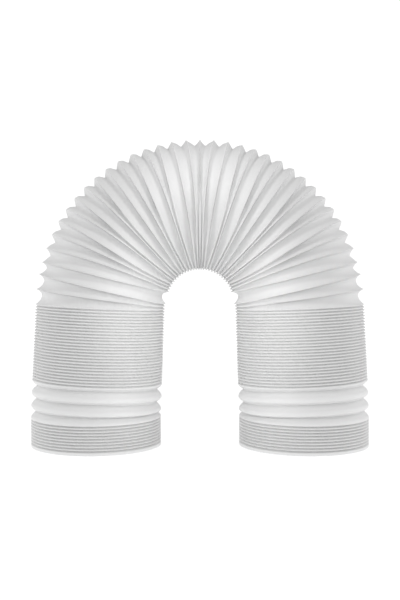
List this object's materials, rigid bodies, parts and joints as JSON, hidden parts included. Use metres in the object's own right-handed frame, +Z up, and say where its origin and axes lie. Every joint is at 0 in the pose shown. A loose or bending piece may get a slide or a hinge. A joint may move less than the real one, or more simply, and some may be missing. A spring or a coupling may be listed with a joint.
{
  "type": "air conditioner exhaust hose",
  "caption": "Flexible white bellows duct bent into an arch, standing on its open collar ends; it carries warm air away from a portable air conditioner.",
  "frame": {"origin": "on the floor midway between the two open ends, under the crown of the arch", "axes": "+Z up, +X from the left leg to the right leg, +Y away from the viewer, square to the plane of the arch"},
  "size_m": [0.4072, 0.156, 0.3656],
  "materials": {
    "white_polypropylene": "satin, thin and slightly translucent"
  },
  "bodies": {
    "root": {"exhaust_hose": "white_polypropylene"}
  },
  "joints": []
}
